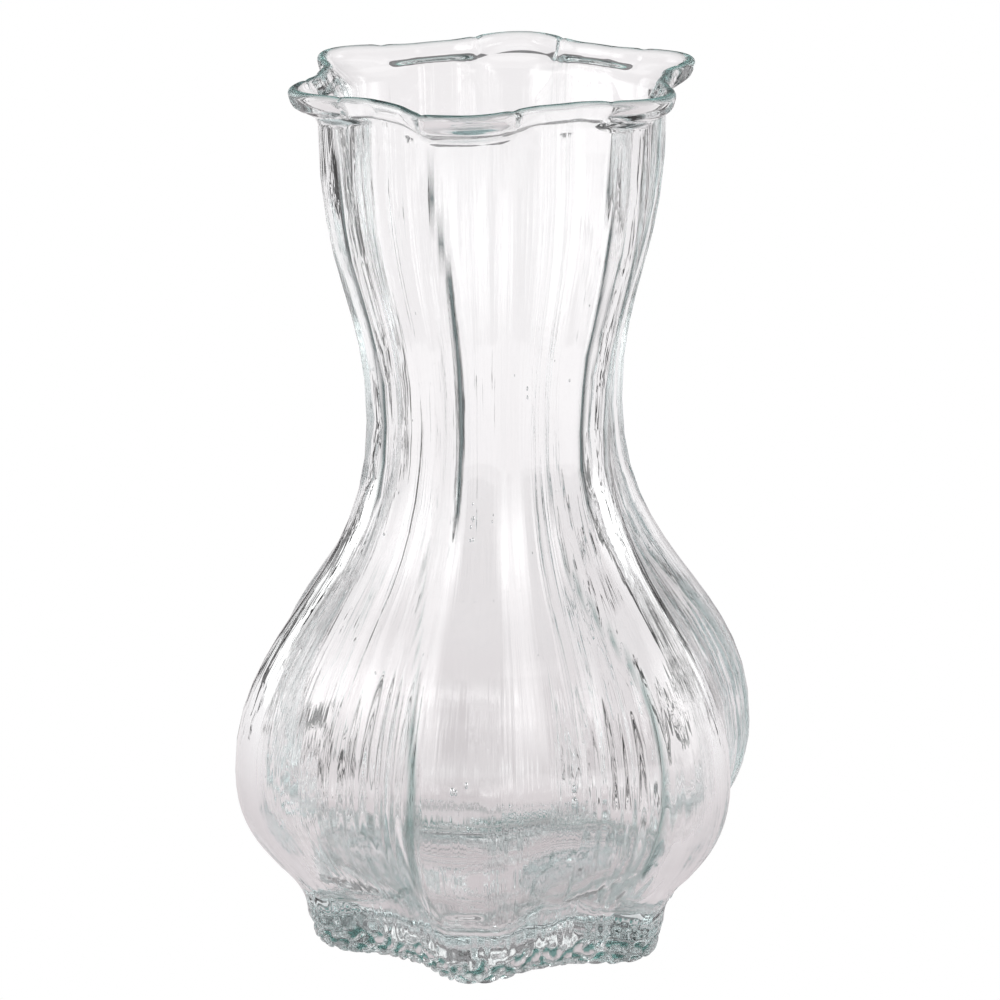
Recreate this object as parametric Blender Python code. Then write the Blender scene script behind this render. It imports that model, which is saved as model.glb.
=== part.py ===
"""Onion vase in clear recycled glass: a six-lobed bulb, a waisted neck, a ruffled lip and a scalloped foot.

Metres, +Z up. The origin is the middle of the ring that the foot stands on. One lobe faces -Y.

The glass is made from three gathers, each fused hot to the next: the foot, a thick pressed pad; the wall, blown
into a lobed mould with its own floor; and the lip, a wrap trailed round the mouth and pulled outwards over each
lobe. Each gather is an object of its own, with a hairline gap where it meets its neighbour.
"""

import math

import bmesh
import bpy
from mathutils import Vector
from mathutils.geometry import interpolate_bezier

# Heights above the table
HEIGHT = 0.2400
FOOT_HEIGHT = 0.0100
BULB_HEIGHT = 0.0520
NECK_HEIGHT = 0.1470
LIP_HEIGHT = 0.0088

# Outer radii, each halfway between the top of a lobe and the bottom of a groove
FOOT_RADIUS = 0.0500
BULB_RADIUS = 0.0702
NECK_RADIUS = 0.0335
MOUTH_RADIUS = 0.0464

# How far a lobe stands out from that radius, and a groove lies in from it
LOBES = 6
LOBE_HALF_WIDTH = math.radians(25)
FOOT_LOBE = 0.0050
BULB_LOBE = 0.0048
NECK_LOBE = 0.0034
MOUTH_LOBE = 0.0030
LIP_LOBE = 0.0050

# Thickness of the glass. The mould shapes the outside, so the wall is thicker in a lobe than in a groove
WALL = 0.0038
LOBE_SWELL = 0.0010
FLOOR_THICKNESS = 0.0038
FLOOR_RADIUS = 0.0270
LIP_THICKNESS = 0.0040
LIP_EDGE_DROP = 0.0024

# The foot narrows downwards, turns under in a round, and is hollowed by a deep punt that follows its lobes
FOOT_TAPER = 0.0010
FOOT_ROUND = 0.0042
PUNT_RADIUS = 0.0360
PUNT_LOBE = 0.0030
PUNT_DEPTH = 0.0080
PUNT_CENTRE_RADIUS = 0.0060
PUNT_TURN_BELOW = 0.0055
PUNT_TURN_ABOVE = 0.0160

# Above the foot the wall stands almost upright for a little, and then turns out into the bulb
HEEL_HEIGHT = 0.0055
HEEL_FLARE = 0.0008

# How far the lip reaches out past the mouth
LIP_FLARE = 0.0060

# How long the profile keeps its direction on each side of a turning point
HEEL_TURN = 0.0090
HEEL_SLOPE = math.radians(52)
FLOOR_TURN = 0.0200
BULB_TURN_BELOW = 0.0200
BULB_TURN_ABOVE = 0.0411
NECK_TURN_BELOW = 0.0464
NECK_TURN_ABOVE = 0.0340
MOUTH_TURN = 0.0455

# Hairline between two gathers where they are fused
JOIN_GAP = 0.0003

# Fineness of the mesh
SIDES_PER_LOBE = 12
WALL_STEPS = 8
LIP_STEPS = 3
FOOT_STEPS = 3
PUNT_STEPS = 6

SHARP_ANGLE = math.radians(50)
GLASS_IOR = 1.52
GLASS_ROUGHNESS = 0.02

UP = Vector((0, 1, 0))
OUT = Vector((1, 0, 0))


def station(radius, height, lobe):
    """A point of the section: its mean radius, its height, and how far the lobes stand out there."""
    return Vector((radius, height, lobe))


def sweep(start, leaving, arriving, end, steps):
    """Section points along a Bezier curve that leaves start by one handle and reaches end by the other."""
    return interpolate_bezier(start, start + leaving, end + arriving, end, steps + 1)


def petal(angle):
    """1 on the crest of a lobe, falling as a cosine to -1 in the groove between two lobes, which is round and even."""
    pitch = math.tau / LOBES
    off_crest = abs((angle + pitch / 2) % pitch - pitch / 2)
    return math.cos(math.pi * min(off_crest / LOBE_HALF_WIDTH, 1))


def ring_points(section_point):
    """The lobed outline at a section point."""
    radius, height, lobe = section_point
    sides = LOBES * SIDES_PER_LOBE
    points = []
    for side in range(sides):
        angle = math.tau * side / sides
        reach = radius + lobe * petal(angle)
        points.append((reach * math.sin(angle), -reach * math.cos(angle), height))
    return points


def lobed_solid(name, section, closed_ring, tint):
    """Skins a ring of faces between each two section points.

    A closed ring joins the last section point to the first. Otherwise both end outlines are capped.
    """
    mesh = bmesh.new()
    rings = [[mesh.verts.new(point) for point in ring_points(p)] for p in section]
    following = rings[1:] + rings[:1] if closed_ring else rings[1:]
    for ring, after in zip(rings, following):
        for side in range(len(ring)):
            left = side - 1
            mesh.faces.new((ring[left], ring[side], after[side], after[left]))
    if not closed_ring:
        mesh.faces.new(rings[0])
        mesh.faces.new(rings[-1])
    bmesh.ops.recalc_face_normals(mesh, faces=mesh.faces)
    data = bpy.data.meshes.new(name)
    mesh.to_mesh(data)
    mesh.free()
    data.shade_smooth()
    data.set_sharp_from_angle(angle=SHARP_ANGLE)
    data.materials.append(glass(name + " glass", tint))
    solid = bpy.data.objects.new(name, data)
    bpy.context.scene.collection.objects.link(solid)
    return solid


def glass(name, tint):
    """Clear glass whose colour is the faint green that its thickness gives it."""
    material = bpy.data.materials.new(name)
    material.use_nodes = True
    shader = material.node_tree.nodes["Principled BSDF"]
    shader.inputs["Base Color"].default_value = (*tint, 1)
    shader.inputs["Roughness"].default_value = GLASS_ROUGHNESS
    shader.inputs["Metallic"].default_value = 0
    shader.inputs["IOR"].default_value = GLASS_IOR
    shader.inputs["Transmission Weight"].default_value = 1
    return material


def foot():
    """The pad that carries the vase: flat on top, scalloped at its side, hollowed by a deep punt below."""
    top = station(FOOT_RADIUS, FOOT_HEIGHT, FOOT_LOBE)
    side = station(FOOT_RADIUS - FOOT_TAPER, FOOT_ROUND, FOOT_LOBE)
    tread = station(FOOT_RADIUS - FOOT_TAPER - FOOT_ROUND, 0, FOOT_LOBE)
    punt_edge = station(PUNT_RADIUS, 0, PUNT_LOBE)
    punt_centre = station(PUNT_CENTRE_RADIUS, PUNT_DEPTH, 0)
    corner = FOOT_ROUND / 2
    section = [top]
    section += sweep(side, -corner * UP, corner * OUT, tread, FOOT_STEPS)
    section += sweep(punt_edge, PUNT_TURN_BELOW * UP, PUNT_TURN_ABOVE * OUT, punt_centre, PUNT_STEPS)
    return lobed_solid("foot", section, closed_ring=False, tint=(0.80, 0.92, 0.88))


def wall_section(start, leaving, inset, swell):
    """One face of the wall, up past the widest of the bulb and the waist of the neck to the mouth."""
    bulb = station(BULB_RADIUS - inset, BULB_HEIGHT, BULB_LOBE - swell)
    neck = station(NECK_RADIUS - inset, NECK_HEIGHT, NECK_LOBE - swell)
    mouth = station(MOUTH_RADIUS - inset, HEIGHT - LIP_HEIGHT, MOUTH_LOBE - swell)
    section = sweep(start, leaving, -BULB_TURN_BELOW * UP, bulb, WALL_STEPS)
    section += sweep(bulb, BULB_TURN_ABOVE * UP, -NECK_TURN_BELOW * UP, neck, WALL_STEPS)[1:]
    section += sweep(neck, NECK_TURN_ABOVE * UP, -MOUTH_TURN * UP, mouth, WALL_STEPS)[1:]
    return section


def body():
    """The blown wall with its floor: the outside up to the mouth, then the inside back down to the floor."""
    seat = FOOT_HEIGHT + JOIN_GAP
    base = station(FOOT_RADIUS, seat, FOOT_LOBE)
    heel = station(FOOT_RADIUS + HEEL_FLARE, seat + HEEL_HEIGHT, FOOT_LOBE)
    rising = HEEL_TURN * (math.cos(HEEL_SLOPE) * OUT + math.sin(HEEL_SLOPE) * UP)
    floor = station(FLOOR_RADIUS, seat + FLOOR_THICKNESS, 0)
    outside = [base] + wall_section(heel, rising, 0, 0)
    inside = wall_section(floor, FLOOR_TURN * OUT, WALL, LOBE_SWELL)
    return lobed_solid("body", outside + inside[::-1], closed_ring=False, tint=(0.93, 0.96, 0.95))


def lip():
    """The wrap round the mouth: it sits on the wall's edge, flares over the lobes and ends in a round bead."""
    seat = HEIGHT - LIP_HEIGHT + JOIN_GAP
    edge_height = HEIGHT - LIP_EDGE_DROP
    edge_radius = MOUTH_RADIUS + LIP_FLARE
    seat_outside = station(MOUTH_RADIUS, seat, MOUTH_LOBE)
    seat_inside = station(MOUTH_RADIUS - WALL, seat, MOUTH_LOBE - LOBE_SWELL)
    edge_outside = station(edge_radius, edge_height, LIP_LOBE)
    crest = station(edge_radius - LIP_THICKNESS / 2, HEIGHT, LIP_LOBE)
    edge_inside = station(edge_radius - LIP_THICKNESS, edge_height, LIP_LOBE)
    flare = (edge_height - seat) / 2
    bead_up = LIP_EDGE_DROP / 2
    bead_out = LIP_THICKNESS / 4
    section = sweep(seat_outside, flare * UP, -flare * UP, edge_outside, LIP_STEPS)
    section += sweep(edge_outside, bead_up * UP, bead_out * OUT, crest, LIP_STEPS)[1:]
    section += sweep(crest, -bead_out * OUT, bead_up * UP, edge_inside, LIP_STEPS)[1:]
    section += sweep(edge_inside, -flare * UP, flare * UP, seat_inside, LIP_STEPS)[1:]
    return lobed_solid("lip", section, closed_ring=True, tint=(0.78, 0.91, 0.87))


def main():
    for leftover in list(bpy.data.objects):
        bpy.data.objects.remove(leftover)
    foot()
    body()
    lip()


main()
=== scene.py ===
"""A lobed onion vase in clear glass, standing on a white table in a white studio.

Lengths are in metres, in the frame of the solids: +Z up, the origin in the middle of the ring that the vase
stands on, and the middle of one lobe towards -Y. Angles round the vase start at that lobe and run towards +X.
"""

import math

import bpy
import numpy as np
from mathutils import Euler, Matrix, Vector


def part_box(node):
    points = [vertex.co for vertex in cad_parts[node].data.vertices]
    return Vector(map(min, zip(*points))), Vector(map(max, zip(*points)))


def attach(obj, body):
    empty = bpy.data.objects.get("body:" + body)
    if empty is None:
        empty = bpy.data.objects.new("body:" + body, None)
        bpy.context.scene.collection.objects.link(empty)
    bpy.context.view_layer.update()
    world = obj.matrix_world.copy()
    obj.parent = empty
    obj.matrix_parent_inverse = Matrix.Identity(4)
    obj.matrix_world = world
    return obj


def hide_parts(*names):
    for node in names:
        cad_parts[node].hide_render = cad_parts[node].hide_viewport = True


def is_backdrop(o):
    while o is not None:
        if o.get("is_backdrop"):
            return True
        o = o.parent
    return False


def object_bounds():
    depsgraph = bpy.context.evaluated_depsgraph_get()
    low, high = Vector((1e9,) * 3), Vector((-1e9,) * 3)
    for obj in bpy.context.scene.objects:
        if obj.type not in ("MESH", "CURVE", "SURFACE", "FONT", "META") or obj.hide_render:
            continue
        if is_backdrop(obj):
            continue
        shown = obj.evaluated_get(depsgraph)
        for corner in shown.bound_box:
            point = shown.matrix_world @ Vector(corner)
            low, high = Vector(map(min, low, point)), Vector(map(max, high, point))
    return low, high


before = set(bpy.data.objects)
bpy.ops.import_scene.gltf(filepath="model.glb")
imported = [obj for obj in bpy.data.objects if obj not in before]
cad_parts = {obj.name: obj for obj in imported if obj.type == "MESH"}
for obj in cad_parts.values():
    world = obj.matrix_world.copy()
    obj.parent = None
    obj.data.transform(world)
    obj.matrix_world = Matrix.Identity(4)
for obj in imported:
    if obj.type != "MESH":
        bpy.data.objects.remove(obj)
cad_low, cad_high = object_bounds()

# Camera
# A long lens looks down on the vase a little, from just to the right of its front lobe. It is aimed a hair
# above and to the right of the vase's middle, and hangs a fifth of a degree out of level.
CAMERA_DISTANCE = 1.56
CAMERA_TURN = math.radians(8.2)
CAMERA_RISE = math.radians(16)
SENSOR_MM = 36
LENS_MM = 207.3
AIM_UP = math.radians(0.048)
AIM_RIGHT = math.radians(0.048)
CAMERA_ROLL = math.radians(0.21)

middle = (cad_low + cad_high) / 2
backwards = Vector((
    math.sin(CAMERA_TURN) * math.cos(CAMERA_RISE),
    -math.cos(CAMERA_TURN) * math.cos(CAMERA_RISE),
    math.sin(CAMERA_RISE),
))
camera = bpy.data.objects.new("camera", bpy.data.cameras.new("camera"))
bpy.context.scene.collection.objects.link(camera)
camera.data.sensor_width = SENSOR_MM
camera.data.lens = LENS_MM
camera.location = middle + backwards * CAMERA_DISTANCE
level = (-backwards).to_track_quat("-Z", "Y")
aim = Euler((AIM_UP, -AIM_RIGHT, -CAMERA_ROLL)).to_quaternion()
camera.rotation_mode = "QUATERNION"
camera.rotation_quaternion = level @ aim
bpy.context.scene.camera = camera

# Surroundings
# The table and the screen behind the vase are burnt out to plain white, as for a catalogue picture. They
# glow, and only the camera sees them. What the glass sees is the set below.
WHITE = (1, 1, 1)
ROOM_TONE = (0.20, 0.195, 0.20)
TABLE_REACH = 6.0
TABLE_CLEARANCE = 0.0002
SCREEN_BEHIND = 4.0
SCREEN_HALF = 3.0

room = bpy.data.worlds.new("room")
bpy.context.scene.world = room
room.use_nodes = True
room.node_tree.nodes["Background"].inputs["Color"].default_value = (*ROOM_TONE, 1)
bpy.context.scene.view_settings.view_transform = "Standard"
bpy.context.view_layer.update()


class Channel:
    """A value in a shader tree. Subtraction and multiplication of channels add the Math nodes for them and
    return a channel.
    """

    def __init__(self, tree, socket=None):
        self.tree = tree
        self.socket = socket

    def node(self, kind, settings=(), sockets=(), result=0):
        """Adds a node of a type. Its settings are made first, then its sockets get their values or links."""
        made = self.tree.nodes.new("ShaderNode" + kind)
        for name, value in dict(settings).items():
            setattr(made, name, value)
        for name, value in dict(sockets).items():
            if isinstance(value, Channel):
                self.tree.links.new(value.socket, made.inputs[name])
            else:
                made.inputs[name].default_value = value
        return Channel(self.tree, made.outputs[result])

    def math(self, operation, *values):
        """A Math node on the values."""
        return self.node("Math", {"operation": operation}, enumerate(values))

    def __sub__(self, other):
        return self.math("SUBTRACT", self, other)

    def __rsub__(self, other):
        return self.math("SUBTRACT", other, self)

    def __mul__(self, other):
        return self.math("MULTIPLY", self, other)

    __rmul__ = __mul__

    def ease(self, start, end):
        """0 below start and 1 above end, with a smooth rise between them."""
        limits = {"Value": self, "From Min": start, "From Max": end}
        return self.node("MapRange", {"interpolation_type": "SMOOTHSTEP"}, limits)


def new_material(name):
    """An empty material, a channel to build its tree from, and a call that links a channel to its output."""
    material = bpy.data.materials.new(name)
    material.use_nodes = True
    tree = material.node_tree
    tree.nodes.clear()
    output = tree.nodes.new("ShaderNodeOutputMaterial")

    def finish(channel, socket="Surface"):
        tree.links.new(channel.socket, output.inputs[socket])

    return material, Channel(tree), finish


def sheet(name, corners, glow, follow=True):
    """A flat sheet with a material for its glow. Its corners run round it anticlockwise, seen from its front.

    They are given on the set, from the middle of the vase's foot: x to the camera's right, y away from it and
    z up. A sheet that follows keeps its place before the camera when the view turns.
    """
    placed = [(x * math.cos(CAMERA_TURN) - y * math.sin(CAMERA_TURN),
               x * math.sin(CAMERA_TURN) + y * math.cos(CAMERA_TURN), z) for x, y, z in corners]
    mesh = bpy.data.meshes.new(name)
    mesh.from_pydata(placed, [], [(0, 1, 2, 3)])
    mesh.uv_layers.new(name="edges").data.foreach_set("uv", (0, 0, 1, 0, 1, 1, 0, 1))
    mesh.materials.append(glow)
    piece = bpy.data.objects.new(name, mesh)
    bpy.context.scene.collection.objects.link(piece)
    piece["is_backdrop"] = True
    if follow:
        piece.parent = camera
        piece.matrix_parent_inverse = camera.matrix_world.inverted()
    piece.visible_diffuse = False
    piece.visible_shadow = False
    return piece


def level_square(half, height):
    """Corners of a level square round the foot."""
    return [(-half, -half, height), (half, -half, height), (half, half, height), (-half, half, height)]


def upright(start, end, low, high):
    """Corners of an upright sheet over the line from start to end, between two heights."""
    return [(*start, low), (*end, low), (*end, high), (*start, high)]


def even_glow(name, colour, fade=0):
    """A glow that thins out to nothing over a share of the sheet's width along all four edges."""
    material, start, finish = new_material(name)
    glow = start.node("Emission", sockets={"Color": (*colour, 1)})
    if fade:
        across = start.node("SeparateXYZ", sockets={0: start.node("TexCoord", result="UV")}, result="X")
        along = start.node("SeparateXYZ", sockets={0: start.node("TexCoord", result="UV")}, result="Y")
        solid = across.ease(0, fade) * (1 - across).ease(0, fade)
        solid = solid * along.ease(0, fade) * (1 - along).ease(0, fade)
        glow = start.node("MixShader", sockets={0: solid, 1: start.node("BsdfTransparent"), 2: glow})
    finish(glow)
    return material


def only_for_camera(piece):
    """Hides a sheet from every ray that has met the glass."""
    piece.visible_glossy = False
    piece.visible_transmission = False


def only_for_glass(piece):
    """Hides a sheet from the camera, so that only rays that have met the glass see it."""
    piece.visible_camera = False


white = even_glow("burnt out white", WHITE)
screen_ends = (-SCREEN_HALF, SCREEN_BEHIND), (SCREEN_HALF, SCREEN_BEHIND)
only_for_camera(sheet("table", level_square(TABLE_REACH, -TABLE_CLEARANCE), white, follow=False))
only_for_camera(sheet("screen", upright(*screen_ends, -SCREEN_HALF, SCREEN_HALF), white))

# The set that the glass sees
# The vase stands on a wide sheet of white paper in a dark room. Strips of black cloth lie behind it, and the
# outer ones stand up at their far ends as flags, for the dark lines along the glass's edges. Strip lights,
# side panels and a light above give the white streaks. Only rays that have met the glass see this set.
PAPER_REACH = 4.0
PAPER_FAR = (0.940, 0.915, 0.925)

# The paper is darker near the vase, which keeps the light away, and brighter before it
PAPER_NEAR = (0.54, 0.475, 0.49)
PAPER_SHADE_REACH = 0.18
PAPER_FRONT = (1.20, 1.18, 1.19)
PAPER_FRONT_FROM = -0.35
PAPER_FRONT_TO = 0.05

# Its outer edge is soft, and a ring of shade lies under the foot
PAPER_EDGE = 3.0
PAPER_EDGE_SOFTNESS = 0.5
CONTACT_TONE = (0.40, 0.40, 0.40)
CONTACT_FROM = 0.0420
CONTACT_TO = 0.0480
CONTACT_SOFTNESS = 0.003

# Each strip of cloth: its two edges in degrees off straight behind the vase, and where it starts and ends
BLACK = (0.01, 0.01, 0.01)
STRIPS = (
    (23, 25.5, 0.10, 0.36),
    (29, 31.5, 0.10, 0.36),
    (20, 25, 0.36, 1.20),
    (28, 35, 0.36, 1.20),
    (42, 46, 0.36, 1.20),
    (54, 56, 0.30, 1.10),
)
FLAG_REACH = 1.0
FLAG_HEIGHT = 0.9

# A strip light on each side, a dimmer panel further out, and a light above, all with soft edges
LIGHT_SIDE = 0.95
LIGHT_FRONT = -0.85
LIGHT_BACK = 0.15
LIGHT_LOW = 0.05
LIGHT_HIGH = 0.95
LIGHT_GLOW = (4.0, 4.0, 4.0)
LIGHT_FADE = 0.45
PANEL_SIDE = 1.05
PANEL_FRONT = -0.80
PANEL_BACK = 1.40
PANEL_HIGH = 0.62
PANEL_GLOW = (1.4, 1.4, 1.4)
PANEL_FADE = 0.1
TOP_HEIGHT = 1.3
TOP_HALF = 0.8
TOP_GLOW = (1.0, 1.0, 1.0)
TOP_FADE = 0.2

paper, start, finish = new_material("paper")
place = start.node("TexCoord", result="Object")
from_vase = start.node("VectorMath", {"operation": "LENGTH"}, {0: place}, result="Value")
away = start.node("SeparateXYZ", sockets={0: place}, result="Y")
far = start.node("Emission", sockets={"Color": (*PAPER_FAR, 1)})
near = start.node("Emission", sockets={"Color": (*PAPER_NEAR, 1)})
front = start.node("Emission", sockets={"Color": (*PAPER_FRONT, 1)})
contact = start.node("Emission", sockets={"Color": (*CONTACT_TONE, 1)})
beyond = start.node("Emission", sockets={"Color": (*ROOM_TONE, 1)})
shaded = start.math("EXPONENT", from_vase * (-1 / PAPER_SHADE_REACH))
in_front = 1 - away.ease(PAPER_FRONT_FROM, PAPER_FRONT_TO)
touching = from_vase.ease(CONTACT_FROM - CONTACT_SOFTNESS, CONTACT_FROM)
touching = touching * (1 - from_vase.ease(CONTACT_TO, CONTACT_TO + CONTACT_SOFTNESS))
past_edge = from_vase.ease(PAPER_EDGE, PAPER_EDGE + PAPER_EDGE_SOFTNESS)
tone = start.node("MixShader", sockets={0: shaded, 1: far, 2: near})
tone = start.node("MixShader", sockets={0: in_front, 1: tone, 2: front})
tone = start.node("MixShader", sockets={0: touching, 1: tone, 2: contact})
finish(start.node("MixShader", sockets={0: past_edge, 1: tone, 2: beyond}))
only_for_glass(sheet("paper", level_square(PAPER_REACH, -2 * TABLE_CLEARANCE), paper, follow=False))


def behind(degrees, reach):
    """A point on the table at a reach from the vase's axis, so many degrees off straight behind it."""
    angle = math.radians(degrees)
    return reach * math.sin(angle), reach * math.cos(angle)


black = even_glow("black cloth", BLACK)
strip_light = even_glow("strip light", LIGHT_GLOW, LIGHT_FADE)
side_panel = even_glow("side panel", PANEL_GLOW, PANEL_FADE)
for side, label in ((-1, "left"), (1, "right")):
    for number, (first, last, near, far) in enumerate(STRIPS):
        near_end = behind(side * first, near), behind(side * last, near)
        far_end = behind(side * first, far), behind(side * last, far)
        lying = [(*corner, 0) for corner in near_end + far_end[::-1]]
        only_for_glass(sheet(f"{label} strip {number}", lying, black))
        if far > FLAG_REACH:
            only_for_glass(sheet(f"{label} flag {number}", upright(*far_end, 0, FLAG_HEIGHT), black))
    light_ends = (side * LIGHT_SIDE, LIGHT_FRONT), (side * LIGHT_SIDE, LIGHT_BACK)
    panel_ends = (side * PANEL_SIDE, PANEL_FRONT), (side * PANEL_SIDE, PANEL_BACK)
    only_for_glass(sheet(label + " light", upright(*light_ends, LIGHT_LOW, LIGHT_HIGH), strip_light))
    only_for_glass(sheet(label + " panel", upright(*panel_ends, 0, PANEL_HIGH), side_panel))
top_light = even_glow("top light", TOP_GLOW, TOP_FADE)
only_for_glass(sheet("top light", level_square(TOP_HALF, TOP_HEIGHT), top_light))

# The glass
# One body of clear glass: a scalloped foot, a wall blown into a six-lobed mould, and a wrap round the mouth,
# fused hot. Its skin runs from the middle of the punt, up the outside, over the lip and down the inside to
# the floor.
LOBES = 6
LOBE_PITCH = math.tau / LOBES
LOBE_HALF_WIDTH = math.radians(25)

# How far the lobes stand out from the mean radius, at places on the outside
PUNT_LOBE = 0.0030
FOOT_LOBE = 0.0050
BULB_LOBE = 0.0048
NECK_LOBE = 0.0034
MOUTH_LOBE = 0.0030
LIP_LOBE = 0.0050

# The foot: a punt below, a flat tread, a round corner and a side that draws in downwards
POLE_RADIUS = 0.0004
PUNT_RADIUS = 0.0360
PUNT_DEPTH = 0.0092
FOOT_ROUND = 0.0054
FOOT_TAPER = 0.0017
QUARTER_ROUND = 0.55

# The wall: over the foot it runs almost upright to the heel, and then turns out into the bulb
HEEL_FLARE = 0.0002
HEEL_HEIGHT = 0.0115
LOW_TURN_FLARE = 0.0078
LOW_TURN_HEIGHT = 0.0240
BULB_HEIGHT = 0.0520
NECK_HEIGHT = 0.1470
NECK_RADIUS = 0.0335
MOUTH_RADIUS = 0.0464
BULB_TURN_BELOW = 0.0150
BULB_TURN_ABOVE = 0.0411
NECK_TURN_BELOW = 0.0464
NECK_TURN_ABOVE = 0.0340
MOUTH_TURN = 0.0455

# The lip: a wrap that starts a step outside the wall, and a round bead at its edge
SEAM_DROP = 0.0014
WRAP_STEP = 0.0003
WRAP_RISE = 0.0005
BEAD = 0.0034
BEAD_DROP = 0.0017
BEAD_ROOT_IN = 0.0012
BEAD_ROOT_DROP = 0.0048

# The inside: a wall thicker in the lobes, and a floor that turns up in a tight round
WALL = 0.0038
LOBE_SWELL = 0.0010
FLOOR_THICKNESS = 0.0042
FLOOR_RADIUS = 0.0400
FLOOR_DISH = 0.0006
FLOOR_LOBE = 0.0040
CAVITY_RADIUS = 0.0500
CAVITY_RISE = 0.0075
CAVITY_LOBE = 0.0048

foot_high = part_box("foot")[1]
wall_low, wall_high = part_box("body")
lip_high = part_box("lip")[1]
foot_radius = foot_high.y - FOOT_LOBE
bulb_radius = wall_high.y - BULB_LOBE
lip_radius = lip_high.y - LIP_LOBE
rim = lip_high.z
mouth = wall_high.z
seam = mouth - SEAM_DROP
floor = wall_low.z + FLOOR_THICKNESS


def bend(start, leaving, arriving, end, rings):
    """Cubic Bezier from start to end, (1-t)^3 a + 3 t (1-t)^2 b + 3 t^2 (1-t) c + t^3 d, less its last point.

    A station is a row of mean radius, height and lobe depth; the handles are given as steps from the ends.
    """
    a, d = np.array(start), np.array(end)
    b, c = a + leaving, d + arriving
    t = np.linspace(0, 1, rings, endpoint=False)[:, None]
    return (1 - t) ** 3 * a + 3 * t * (1 - t) ** 2 * b + 3 * t ** 2 * (1 - t) * c + t ** 3 * d


def handle(out, up):
    """A handle of a bend, as a step outwards and upwards that leaves the lobe depth alone."""
    return np.array((out, up, 0))


def wall_path(start, leaving, inset, swell, top, rings):
    """Stations of one face of the wall: three bends, by way of the bulb's widest and the neck's waist."""
    bulb = (bulb_radius - inset, BULB_HEIGHT, BULB_LOBE - swell)
    waist = (NECK_RADIUS - inset, NECK_HEIGHT, NECK_LOBE - swell)
    end = (MOUTH_RADIUS - inset, top, MOUTH_LOBE - swell)
    return np.concatenate([
        bend(start, leaving, handle(0, -BULB_TURN_BELOW), bulb, rings[0]),
        bend(bulb, handle(0, BULB_TURN_ABOVE), handle(0, -NECK_TURN_BELOW), waist, rings[1]),
        bend(waist, handle(0, NECK_TURN_ABOVE), handle(0, -MOUTH_TURN), end, rings[2]),
        [end],
    ])


punt_middle = (POLE_RADIUS, PUNT_DEPTH, 0)
punt_edge = (PUNT_RADIUS, 0, PUNT_LOBE)
tread = (foot_radius - FOOT_TAPER - FOOT_ROUND, 0, FOOT_LOBE)
foot_side = (foot_radius - FOOT_TAPER, FOOT_ROUND, FOOT_LOBE)
heel = (foot_radius + HEEL_FLARE, HEEL_HEIGHT, FOOT_LOBE)
low_turn = (foot_radius + LOW_TURN_FLARE, LOW_TURN_HEIGHT, FOOT_LOBE)
wrap_edge = (MOUTH_RADIUS + WRAP_STEP, seam + WRAP_RISE, MOUTH_LOBE)
bead_root = (lip_radius - BEAD_ROOT_IN, rim - BEAD_ROOT_DROP, LIP_LOBE)
bead_side = (lip_radius, rim - BEAD_DROP, LIP_LOBE)
bead_crest = (lip_radius - BEAD / 2, rim, LIP_LOBE)
bead_inside = (lip_radius - BEAD, rim - BEAD_DROP, LIP_LOBE)
inner_mouth = (MOUTH_RADIUS - WALL, mouth, MOUTH_LOBE - LOBE_SWELL)
floor_middle = (POLE_RADIUS, floor, 0)
floor_edge = (FLOOR_RADIUS, floor + FLOOR_DISH, FLOOR_LOBE)
cavity_side = (CAVITY_RADIUS, floor + CAVITY_RISE, CAVITY_LOBE)
corner = FOOT_ROUND * QUARTER_ROUND

underside = np.concatenate([
    bend(punt_middle, handle(0.032, 0), handle(-0.0004, 0.0090), punt_edge, rings=7),
    bend(punt_edge, handle(0.002, 0), handle(-0.002, 0), tread, rings=5),
    bend(tread, handle(corner, 0), handle(0, -corner), foot_side, rings=15),
])
outer_wall = np.concatenate([
    bend(foot_side, handle(0, 0.002), handle(0, -0.003), heel, rings=9),
    bend(heel, handle(0.0004, 0.0045), handle(-0.0041, -0.0044), low_turn, rings=8),
    wall_path(low_turn, handle(0.0056, 0.0066), inset=0, swell=0, top=seam, rings=(10, 13, 8)),
])
outer_lip = np.concatenate([
    bend(wrap_edge, handle(0.0002, 0.0026), handle(-0.0012, -0.0016), bead_root, rings=5),
    bend(bead_root, handle(0.0008, 0.0010), handle(-0.0002, -0.0008), bead_side, rings=3),
])
over_bead = np.concatenate([
    bend(bead_side, handle(0.0003, 0.0010), handle(0.0009, 0), bead_crest, rings=4),
    bend(bead_crest, handle(-0.0009, 0), handle(0.0002, 0.0010), bead_inside, rings=4),
    bend(bead_inside, handle(-0.0014, -0.0030), handle(0, 0.0020), inner_mouth, rings=4),
])
inside = np.concatenate([
    bend(floor_middle, handle(0.015, 0), handle(-0.006, -0.0001), floor_edge, rings=6),
    bend(floor_edge, handle(0.0062, 0.0002), handle(-0.0014, -0.0034), cavity_side, rings=6),
    wall_path(cavity_side, handle(0.0045, 0.0110), inset=WALL, swell=LOBE_SWELL, top=mouth, rings=(5, 8, 6)),
])[::-1]
path = np.concatenate([underside, outer_wall, outer_lip, over_bead, inside])
seam_row = len(underside) + len(outer_wall)
bead_row = seam_row + len(outer_lip)
inside_row = bead_row + len(over_bead)


def petals(turn):
    """1 on a crest and -1 in the round groove: cos(pi a / w) at an angle a off the crest, held beyond w."""
    off_crest = (turn + LOBE_PITCH / 2) % LOBE_PITCH - LOBE_PITCH / 2
    return np.cos(np.pi * np.minimum(np.abs(off_crest) / LOBE_HALF_WIDTH, 1))


def step_up(x, start, end):
    """0 below start, 1 above end, and 3 t^2 - 2 t^3 between them."""
    t = np.clip((x - start) / (end - start), 0, 1)
    return t * t * (3 - 2 * t)


def zone(x, start, end, softness):
    """1 from start to end, with smooth sides."""
    return step_up(x, start - softness, start) * (1 - step_up(x, end, end + softness))


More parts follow.
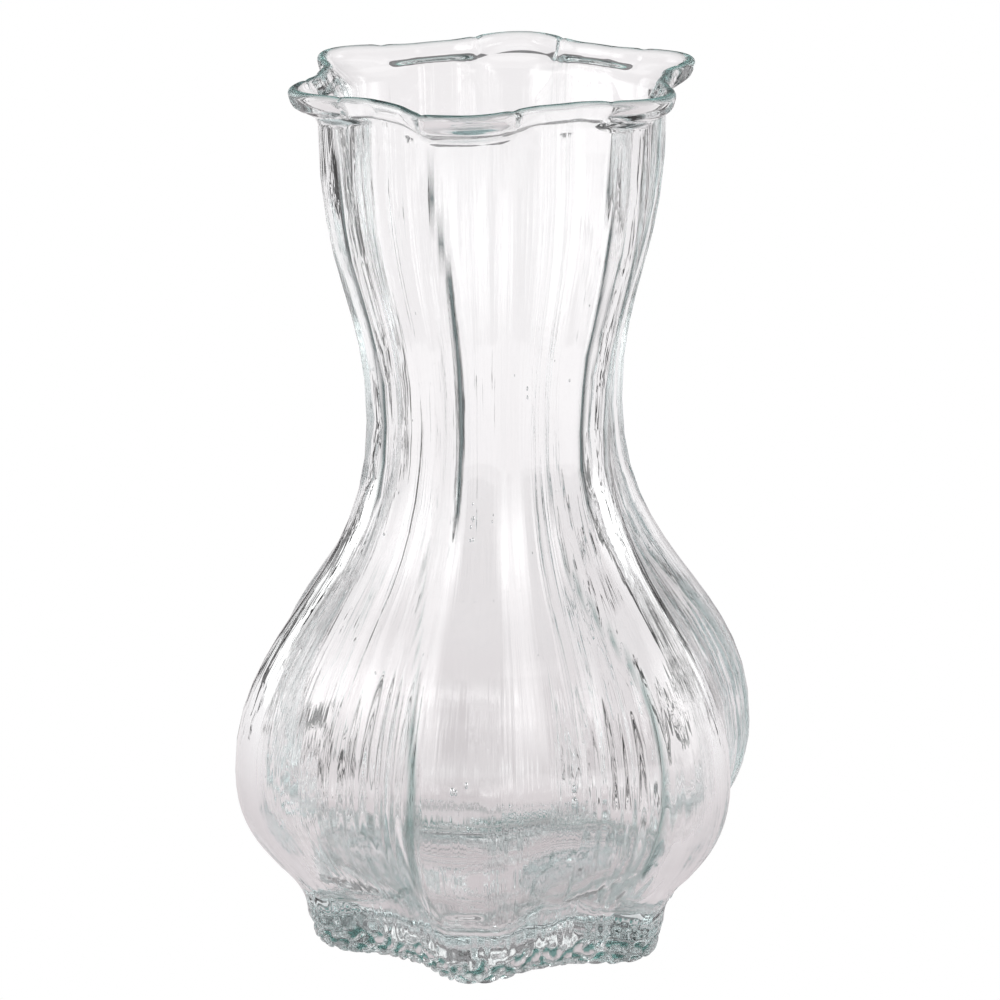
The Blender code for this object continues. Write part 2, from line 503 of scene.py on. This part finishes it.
def off_from(turn, centre):
    """The angle from a centre, between minus and plus half a turn."""
    return (turn - centre + np.pi) % math.tau - np.pi


# The skin's grid: rings along the path, and sides round the vase that stand closer together in the grooves
SIDES = 750
GATHER = 0.3

even = math.tau * np.arange(SIDES) / SIDES
turn = even + GATHER * np.sin(LOBES * even) / LOBES
shape = petals(turn)
from_crest = off_from(turn * LOBES, 0) / LOBES
radius, height, lobe = path[:, 0, None], path[:, 1, None], path[:, 2, None]
steps = np.diff(path[:, :2], axis=0)
along = np.concatenate([[0], np.cumsum(np.linalg.norm(steps, axis=1))])[:, None]
tangent = np.gradient(path[:, :2], axis=0)
tangent /= np.linalg.norm(tangent, axis=1)[:, None]
normal_out, normal_up = tangent[:, 1, None], -tangent[:, 0, None]
row = np.arange(len(path))[:, None]
below_seam = row < seam_row
outer_face = row <= bead_row
inner_face = row >= inside_row

# Draw lines: upright waves left by the blowing, as shallow as they are narrow, and stronger in the grooves
DRAW_WAVES = 60
DRAW_SLOPE = 0.036
DRAW_LEAN = 18
FINE_WAVES = (30, 210)
FINE_ON_CRESTS = 0.5
FINE_GAIN = 0.35
COARSE_WAVES = (10, 40)
DRAW_FROM = 0.011
DRAW_EASE = 0.004
SEAM_CLEARANCE = 0.002
INSIDE_WAVES = (9, 90)
INSIDE_SHARE = 0.6
INSIDE_FROM = 0.024
INSIDE_TO = 0.034


def draw_lines(waves, seed):
    """The sum of cos(k turn + phase + lean height) / k over many whole numbers k, with an even slope."""
    pick = np.random.default_rng(seed)
    total = 0
    for _ in range(DRAW_WAVES):
        k = pick.integers(*waves)
        total = total + np.cos(k * turn + pick.uniform(0, math.tau) + pick.normal(0, DRAW_LEAN) * height) / k
    return total / math.sqrt(DRAW_WAVES / 2)


draw = draw_lines(FINE_WAVES, seed=5) * (FINE_ON_CRESTS + FINE_GAIN * (1 - shape))
draw = draw + draw_lines(COARSE_WAVES, seed=6)
dent = DRAW_SLOPE * radius * (draw - draw.max()) * zone(height, DRAW_FROM, mouth - SEAM_CLEARANCE, DRAW_EASE)
inner_draw = draw_lines(INSIDE_WAVES, seed=8)
inner_dent = DRAW_SLOPE * INSIDE_SHARE * radius * inner_draw * step_up(height, INSIDE_FROM, INSIDE_TO)

# Folds: creases where the mould's ribs ended. A line gives places in degrees off a lobe's crest at heights. A
# fold is a line, its depth and width, the heights that it runs between, and the numbers of its lobes.
FOLD_WANDER = math.radians(0.8)
SLOW_WAVES = (60, 90)
QUICK_WAVES = (150, 260)
QUICK_SHARE = 0.4
DEPTH_SPREAD = (0.7, 1.2)
FOLD_EASE = 0.010
LEFT_FOLD = ((-29, 0.018), (-12, 0.030), (-11, 0.063), (-13, 0.085), (-17, 0.100), (-22, 0.116), (-24, 0.150),
             (-22, 0.230))
RIGHT_FOLD = ((28, 0.018), (31, 0.072), (26, 0.085), (27, 0.097), (28, 0.120), (27, 0.149), (24, 0.230))
NECK_FOLD = ((-8, 0.120), (-8, 0.134), (-6, 0.153), (-7, 0.190), (-12, 0.212), (-20, 0.228))
LEFT_EDGE_FOLD = ((8, 0.120), (9, 0.160), (6, 0.230))
RIGHT_EDGE_FOLD = ((-10, 0.120), (-8, 0.160), (-11, 0.230))
TIP_FOLD = ((1, 0.120), (3, 0.170), (2, 0.230))
FOLDS = (
    (LEFT_FOLD, 0.00110, 0.0011, 0.026, 0.115, range(LOBES)),
    (RIGHT_FOLD, 0.00045, 0.0006, 0.030, 0.150, range(LOBES)),
    (NECK_FOLD, 0.00070, 0.0006, 0.128, 0.222, (0, 2, 4, 5)),
    (NECK_FOLD, 0.00090, 0.0010, 0.132, 0.214, (0,)),
    (LEFT_FOLD, 0.00080, 0.0018, 0.022, 0.075, (0,)),
    (LEFT_EDGE_FOLD, 0.00110, 0.0009, 0.128, 0.222, (5,)),
    (RIGHT_EDGE_FOLD, 0.00110, 0.0008, 0.128, 0.222, (1,)),
    (TIP_FOLD, 0.00090, 0.0007, 0.136, 0.220, (1, 4)),
)
CREASE_FROM = 0.018
CREASE_EASE = 0.006


def folds():
    """The sum of depth exp(-distance / width) off lines that wander with height by two sines."""
    pick = np.random.default_rng(11)
    total = 0
    for line, depth, width, low, high, lobes in FOLDS:
        places, heights = np.transpose(line)
        for number in lobes:
            wander = np.sin(pick.uniform(*SLOW_WAVES) * height + pick.uniform(0, math.tau))
            quick = np.sin(pick.uniform(*QUICK_WAVES) * height + pick.uniform(0, math.tau))
            wander = wander + QUICK_SHARE * quick
            line_place = number * LOBE_PITCH + np.radians(np.interp(height, heights, places))
            line_place = line_place + FOLD_WANDER * wander
            near = np.exp(-np.abs(off_from(turn, line_place)) * radius / width)
            total = total + depth * pick.uniform(*DEPTH_SPREAD) * near * zone(height, low, high, FOLD_EASE)
    return total


crease = folds()
dent = dent - crease * zone(height, CREASE_FROM, mouth - SEAM_CLEARANCE, CREASE_EASE)

# Flutes: upright ridges a few millimetres apart on the left flank of every lobe, deepest on the front lobe.
# Shallow ones run all round the heel, where the wall was pressed down on the foot in a wavy line.
FLUTE_DEPTH = 0.00060
FLUTE_COUNTS = (96, 78, 132)
FLUTE_PHASE = 2.1
FLUTE_LEAN = 12
FLUTE_NORM = 1.4
FLUTES_FROM = math.radians(-24)
FLUTES_TO = math.radians(-12)
FLUTES_SIDE_EASE = math.radians(5)
FLUTES_LOW = 0.011
FLUTES_HIGH = 0.085
FLUTES_EASE = 0.005
FRONT_REACH = math.radians(32)
ELSEWHERE = 0.45
HEEL_FLUTE_DEPTH = 0.00015
HEEL_FLUTE_SHIFT = 0.7
HEEL_WAVE = 0.0016
HEEL_LOW = 0.0105
HEEL_HIGH = 0.0200
HEEL_EASE = 0.0045


def flutes(turn):
    """The sum of cos(n turn + phase i + lean i height) / (1 + i) for the i-th count n, over a norm."""
    total = 0
    for number, count in enumerate(FLUTE_COUNTS):
        lean = FLUTE_PHASE * number + FLUTE_LEAN * number * height
        total = total + np.cos(count * turn + lean) / (1 + number)
    return total / FLUTE_NORM


on_left_flank = zone(from_crest, FLUTES_FROM, FLUTES_TO, FLUTES_SIDE_EASE)
at_front = np.exp(-(off_from(turn, 0) / FRONT_REACH) ** 4)
flute_depth = FLUTE_DEPTH * (ELSEWHERE + (1 - ELSEWHERE) * at_front)
fluted = on_left_flank * zone(height, FLUTES_LOW, FLUTES_HIGH, FLUTES_EASE)
at_heel = zone(height, HEEL_LOW, HEEL_HIGH, HEEL_EASE)
dent = dent - flute_depth * (1 - flutes(turn)) * fluted
dent = dent - HEEL_FLUTE_DEPTH * (1 - flutes(turn + HEEL_FLUTE_SHIFT)) * at_heel
heel_wave = HEEL_WAVE * np.sin(7 * turn + 1) * np.cos(16 * turn) * at_heel

# Chill marks: level ripples in patches low on the bulb and on its floor, left by the cool mould.
RIPPLE_PITCH = 0.0031
RIPPLE_SLOPE = 0.28
BEAT_PITCHES = 4.3
BEAT_SHIFT = 1.2
PATCHES = 9
PATCH_FROM = -0.2
PATCH_TO = 0.6
RIPPLE_LOW = 0.027
RIPPLE_HIGH = 0.043
RIPPLE_EASE = 0.008
FLOOR_RIPPLE_PITCH = 0.0040
FLOOR_RIPPLE_DEPTH = 0.00016
FLOOR_RIPPLE_FROM = 0.010
FLOOR_RIPPLE_TO = 0.020


def ripples(distance, pitch, phase):
    """cos(2 pi distance / pitch + s), with a shift s of 2.3 sin(3 turn + 1) + 1.7 sin(5 turn + phase)."""
    return np.cos(math.tau * distance / pitch + 2.3 * np.sin(3 * turn + 1) + 1.7 * np.sin(5 * turn + phase))


beat = np.cos(math.tau * height / (RIPPLE_PITCH * BEAT_PITCHES) + BEAT_SHIFT * np.sin(2 * turn))
rippled = step_up(np.cos(PATCHES * turn), PATCH_FROM, PATCH_TO)
rippled = rippled * zone(height, RIPPLE_LOW, RIPPLE_HIGH, RIPPLE_EASE)
dent = dent + RIPPLE_SLOPE * RIPPLE_PITCH / math.tau * (ripples(height, RIPPLE_PITCH, 0) * beat - 1) * rippled
floor_ripple = FLOOR_RIPPLE_DEPTH * ripples(radius, FLOOR_RIPPLE_PITCH, 2)
inner_dent = inner_dent + floor_ripple * step_up(radius, FLOOR_RIPPLE_FROM, FLOOR_RIPPLE_TO)

# Stippling: the bumpy band round the bottom of the foot. Its top edge is uneven and dips at the front.
STIPPLE_WAVES = 24
STIPPLE_PITCH = 0.0031
PITCH_SPREAD = (0.8, 1.5)
STIPPLE_STEEPNESS = 1.5
STIPPLE_DEPTH = 0.0012
STIPPLE_TOP = 0.0088
STIPPLE_TOP_WAVES = ((0.0008, 17, 1), (0.0006, 29, 0))
STIPPLE_TOP_EASE = 0.002
STIPPLE_DIP = 0.0012
STIPPLE_DIP_WIDTH = math.radians(11)
STIPPLE_INNER_EDGE = 0.003
STIPPLE_INNER_END = 0.001


def stipple():
    """Bumps of about one pitch: tanh of the sum of waves cos(k turn + climb) that cross in all directions."""
    pick = np.random.default_rng(3)
    total = 0
    for _ in range(STIPPLE_WAVES):
        heading = pick.uniform(0, math.tau)
        pitch = STIPPLE_PITCH * pick.uniform(*PITCH_SPREAD)
        k = round(math.tau * tread[0] / pitch * math.cos(heading))
        climb = math.tau / pitch * math.sin(heading) * along
        total = total + np.cos(k * turn + climb + pick.uniform(0, math.tau))
    return np.tanh(total / math.sqrt(STIPPLE_WAVES / 2) * STIPPLE_STEEPNESS)


bumps = stipple()
band_top = STIPPLE_TOP - STIPPLE_DIP * np.exp(-(off_from(turn, 0) / STIPPLE_DIP_WIDTH) ** 2)
for depth, count, phase in STIPPLE_TOP_WAVES:
    band_top = band_top + depth * np.sin(count * turn + phase)
band = 1 - step_up(height, band_top - STIPPLE_TOP_EASE, band_top)
band = band * step_up(radius, tread[0] - STIPPLE_INNER_EDGE, tread[0] - STIPPLE_INNER_END)
dent = dent + STIPPLE_DEPTH * (bumps - 1) / 2 * band

# Between two lobes the cavity's floor runs up in a rib, so that each lobe ends in a pocket of its own.
RIB_RISE = 0.0060
RIB_FOOT = math.radians(9)
RIB_TOP = math.radians(27)
RIB_STARTS = 0.022
RIB_FULL = 0.042
RIB_FADES = 0.016
RIB_ENDS = 0.048

rib = RIB_RISE * step_up(np.abs(from_crest), RIB_FOOT, RIB_TOP)
rib = rib * step_up(radius, RIB_STARTS, RIB_FULL) * (1 - step_up(height, RIB_FADES, RIB_ENDS))

# The rim: its wrap hangs down in a tongue over each lobe, tilts a little, and dips left of the front lobe.
# Small nubs show where the wrap was pinched on both sides of each lobe.
WRAP_LIFT = 0.0036
TONGUE_HALF = math.radians(9)
TONGUE_END = math.radians(24)
TONGUE_EDGE = 0.0006
TONGUE_EASE = 0.0050
TILT = 0.0005
TILT_PLACE = math.radians(80)
DIP = 0.0015
DIP_PLACE = math.radians(-16)
DIP_WIDTH = math.radians(9)
SAG_FROM = 0.212
SAG_TO = 0.236
NUB_OFF_CREST = math.radians(14)
NUB_DEPTH = 0.00035
NUB_WIDTH = 0.0012
NUB_FROM = 0.2335
NUB_TO = 0.2355

near_seam = zone(height, seam, seam + TONGUE_EDGE, TONGUE_EASE)
lift = WRAP_LIFT * step_up(np.abs(from_crest), TONGUE_HALF, TONGUE_END) * near_seam
dip = DIP * np.exp(-(off_from(turn, DIP_PLACE) / DIP_WIDTH) ** 2)
sag = (dip + TILT * (1 - np.cos(turn - TILT_PLACE))) * step_up(height, SAG_FROM, SAG_TO)
nub = NUB_DEPTH * np.exp(-((np.abs(from_crest) - NUB_OFF_CREST) * radius / NUB_WIDTH) ** 2)
nub = nub * step_up(height, NUB_FROM, NUB_TO)

# The skin: each ring lies round its station, pushed in by the dents along the normal, and moved up or down
dent = np.where(outer_face, dent, 0) + np.where(inner_face, inner_dent, 0) - nub
dent = dent * (radius > 2 * POLE_RADIUS)
span = radius + lobe * shape + dent * normal_out
rise = height + dent * normal_up + (heel_wave + lift) * outer_face + rib * inner_face - sag
rings = np.stack([span * np.sin(turn), -span * np.cos(turn), rise], -1)

# Seeds: small air bubbles in the wall, drawn out upwards. Each is a hollow shell. A cluster has its turn in
# degrees and its height, how far seeds may be off in both, how many there are, and their half width.
SEED_ROUND = 6
SEED_LEVELS = 3
SEED_STRETCH = 2
SEED_DEPTHS = (0.35, 0.65)
SEED_SIZES = (0.6, 1.2)
SEED_CLUSTERS = (
    (-1, 0.125, 0.7, 0.0060, 8, 0.00030),
    (1, 0.064, 2.0, 0.0030, 3, 0.00060),
    (27, 0.060, 0.5, 0.0050, 2, 0.00080),
    (25, 0.159, 0.3, 0.0015, 3, 0.00035),
    (0, 0.120, 180, 0.0700, 70, 0.00022),
    (68, 0.0100, 0.3, 0.0003, 1, 0.00150),
)


def seed_shell(centre, size):
    """A closed ellipsoid, stretched upwards, with its faces towards its middle. Returns points and faces.

    Its points are sin v cos u, sin v sin u and -stretch cos v, at even angles u and v, and its two ends.
    """
    level = np.pi * np.arange(1, SEED_LEVELS + 1)[:, None] / (SEED_LEVELS + 1)
    around = math.tau * np.arange(SEED_ROUND) / SEED_ROUND
    body = np.stack([np.sin(level) * np.cos(around), np.sin(level) * np.sin(around),
                     -SEED_STRETCH * np.cos(level) + 0 * around], -1).reshape(-1, 3)
    points = centre + size * np.concatenate([body, [(0, 0, -SEED_STRETCH), (0, 0, SEED_STRETCH)]])
    bottom, top = len(body), len(body) + 1
    faces = []
    for side in range(SEED_ROUND):
        after = (side + 1) % SEED_ROUND
        faces.append((side, after, bottom))
        faces.append((top, bottom - SEED_ROUND + after, bottom - SEED_ROUND + side))
        for lower in range(0, len(body) - SEED_ROUND, SEED_ROUND):
            upper = lower + SEED_ROUND
            faces.append((lower + side, upper + side, upper + after, lower + after))
    return points, faces


def seeds():
    """Points and faces of all seeds. Each lies about halfway through the wall."""
    pick = np.random.default_rng(21)
    points, faces = [], []
    radii, heights, depths = outer_wall.T
    for place, level, spread, reach, count, size in SEED_CLUSTERS:
        for _ in range(count):
            angle = math.radians(place + spread * pick.uniform(-1, 1))
            z = level + reach * pick.uniform(-1, 1)
            out = np.interp(z, heights, radii) + np.interp(z, heights, depths) * petals(angle)
            out = out - WALL * pick.uniform(*SEED_DEPTHS)
            centre = np.array((out * math.sin(angle), -out * math.cos(angle), z))
            shell_points, shell_faces = seed_shell(centre, size * pick.uniform(*SEED_SIZES))
            start = sum(len(p) for p in points)
            points.append(shell_points)
            faces += [tuple(start + corner for corner in face) for face in shell_faces]
    return np.concatenate(points), faces


def closed_skin(name, rings, fields, extra_points, extra_faces):
    """A closed skin over rings of points: quads between each two rings, and a fan at both ends.

    rings has the shape (rings, sides, 3). The two end fans meet in the middles of the first and last rings.
    """
    count, sides = rings.shape[:2]
    poles = np.stack([rings[0].mean(0), rings[-1].mean(0)])
    points = np.concatenate([rings.reshape(-1, 3), poles, extra_points])
    row, column = np.meshgrid(np.arange(count - 1), np.arange(sides), indexing="ij")
    following = (column + 1) % sides
    quads = np.stack([
        row * sides + column, row * sides + following,
        (row + 1) * sides + following, (row + 1) * sides + column,
    ], -1).reshape(-1, 4)
    around = np.arange(sides)
    after = (around + 1) % sides
    first_pole, last_pole = count * sides, count * sides + 1
    last_row = (count - 1) * sides
    fans = np.concatenate([
        np.stack([after, around, np.full(sides, first_pole)], -1),
        np.stack([last_row + around, last_row + after, np.full(sides, last_pole)], -1),
    ])
    start = count * sides + 2
    faces = [*quads.tolist(), *fans.tolist()]
    faces += [[start + corner for corner in face] for face in extra_faces]
    mesh = bpy.data.meshes.new(name)
    mesh.from_pydata(points.tolist(), [], faces)
    mesh.shade_smooth()
    for field, values in fields.items():
        everywhere = np.zeros(len(points), np.float32)
        everywhere[:count * sides] = values.ravel()
        mesh.attributes.new(field, "FLOAT", "POINT").data.foreach_set("value", everywhere)
    piece = bpy.data.objects.new(name, mesh)
    bpy.context.scene.collection.objects.link(piece)
    return piece


# Painted shade: dark green in the pits of the stippling, in the creases and round the bead, for the dark
# lines that refraction shows there. The rim's painted line is placed in rings after the seam. The creases of
# the neck are painted darker than the others.
PIT_SHADE_FROM = -0.1
PIT_SHADE_TO = 0.7
CREASE_SHADE = 0.8
CREASE_SHADE_FROM = 0.0003
CREASE_SHADE_TO = 0.0010
NECK_SHADE_TO = 0.0008
NECK_FROM = 0.100
NECK_TO = 0.130
RIM_SHADE_PLACE = 11.5
RIM_SHADE_WIDTH = 1.9

# Where the thinnest lines are strong: on the right flanks of the lobes of the bulb, and less on the left ones
LINES_EVERYWHERE = 0.40
LINES_ON_FLANKS = 0.60
LEFT_SHARE = 0.35
RIGHT_FLANK = math.radians(1)
RIGHT_EASE = (0.1, 0.6)
LEFT_FLANK = math.radians(40)
LEFT_EASE = (0.3, 0.8)
LINES_FROM = 0.018
LINES_TO = 0.030
BULB_LOW = 0.030
BULB_HIGH = 0.085
BULB_EASE = 0.020

on_neck = step_up(height, NECK_FROM, NECK_TO)
# Painted shade: masks for the dark green painted in the stippling's pits, in the creases and round the bead
in_pits = band * step_up(-bumps, PIT_SHADE_FROM, PIT_SHADE_TO)
in_creases = CREASE_SHADE * step_up(crease, CREASE_SHADE_FROM, CREASE_SHADE_TO) * (1 - on_neck)
bead_shade = np.exp(-((row - seam_row - RIM_SHADE_PLACE) / RIM_SHADE_WIDTH) ** 2)
painted_edge_shade = (in_pits + in_creases) * below_seam + bead_shade
# Painted shade: a mask for the near black painted into the neck's creases
painted_fold_shade = step_up(crease, CREASE_SHADE_FROM, NECK_SHADE_TO) * on_neck * below_seam
on_right = step_up(np.sin(LOBES * (turn - RIGHT_FLANK)), *RIGHT_EASE)
on_left = step_up(np.sin(LOBES * (turn - LEFT_FLANK)), *LEFT_EASE)
on_flanks = np.maximum(on_right, LEFT_SHARE * on_left) * zone(height, BULB_LOW, BULB_HIGH, BULB_EASE)
thin_lines = LINES_EVERYWHERE + LINES_ON_FLANKS * on_flanks
thin_lines = thin_lines * step_up(height, LINES_FROM, LINES_TO) * below_seam
# The edge and fold fields carry the painted shade to the material
fields = {"edge": painted_edge_shade, "thin_lines": thin_lines, "fold": painted_fold_shade}
vase = closed_skin("vase_glass", rings, fields, *seeds())

# Its material: clear glass, green through its depth, dull where it stands, with thin striae as bumps
# Painted shade: the colour turns dark green in the pits, creases and bead, and near black in the neck's
# creases
CLEAR = (1, 1, 1, 1)
EDGE_SHADE_GREEN = (0.06, 0.23, 0.20, 1)
FOLD_SHADE = (0.03, 0.05, 0.05, 1)
DEPTH_GREEN = (0.60, 0.80, 0.80, 1)
DEPTH_DENSITY = 6
GLASS_IOR = 1.52
WORN_FROM = 0.0002
WORN_TO = 0.0012
WORN_ROUGHNESS = 0.25
STRIAE_ROUND = 60
STRIAE_RISE = 22
STRIAE_DEPTH = 0.00012

glass, start, finish = new_material("clear glass")
place = start.node("TexCoord", result="Object")
height_up = start.node("SeparateXYZ", sockets={0: place}, result="Z")
# Painted shade: dark green mixed into the glass's colour where the edge field is set
edge_shade_mask = start.node("Attribute", {"attribute_name": "edge"}, result="Fac")
colour_with_shade = start.node("Mix", {"data_type": "RGBA"}, {0: edge_shade_mask, 6: CLEAR, 7: EDGE_SHADE_GREEN}, result=2)
# Painted shade: near black mixed into the glass's colour in the neck's creases
fold_shade_mask = start.node("Attribute", {"attribute_name": "fold"}, result="Fac")
colour_with_shade = start.node("Mix", {"data_type": "RGBA"}, {0: fold_shade_mask, 6: colour_with_shade, 7: FOLD_SHADE}, result=2)
worn = 1 - height_up.ease(WORN_FROM, WORN_TO)
flat = start.node("VectorMath", {"operation": "MULTIPLY"}, {0: place, 1: (1, 1, 0)})
round_it = start.node("VectorMath", {"operation": "NORMALIZE"}, {0: flat})
wide = start.node("VectorMath", {"operation": "SCALE"}, {0: round_it, "Scale": STRIAE_ROUND})
high = start.node("VectorMath", {"operation": "MULTIPLY"}, {0: place, 1: (0, 0, STRIAE_RISE)})
streaks = start.node("VectorMath", {"operation": "ADD"}, {0: wide, 1: high})
grain = start.node("TexNoise", sockets={"Vector": streaks, "Scale": 1, "Detail": 1})
strength = start.node("Attribute", {"attribute_name": "thin_lines"}, result="Fac")
striae = start.node("Bump", sockets={"Height": grain, "Strength": strength, "Distance": STRIAE_DEPTH})
finish(start.node("BsdfPrincipled", sockets={
    "Base Color": colour_with_shade,
    "Roughness": worn * WORN_ROUGHNESS,
    "IOR": GLASS_IOR,
    "Transmission Weight": 1,
    "Normal": striae,
}))
finish(start.node("VolumeAbsorption", sockets={"Color": DEPTH_GREEN, "Density": DEPTH_DENSITY}), "Volume")
vase.data.materials.append(glass)
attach(vase, "root")
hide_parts("body", "foot", "lip")

# Light crosses the glass many times before it leaves
CROSSINGS = 64
REFLECTIONS = 24

bpy.context.scene.cycles.max_bounces = CROSSINGS
bpy.context.scene.cycles.transmission_bounces = CROSSINGS
bpy.context.scene.cycles.glossy_bounces = REFLECTIONS
bpy.context.scene.cycles.transparent_max_bounces = REFLECTIONS

low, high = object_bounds()
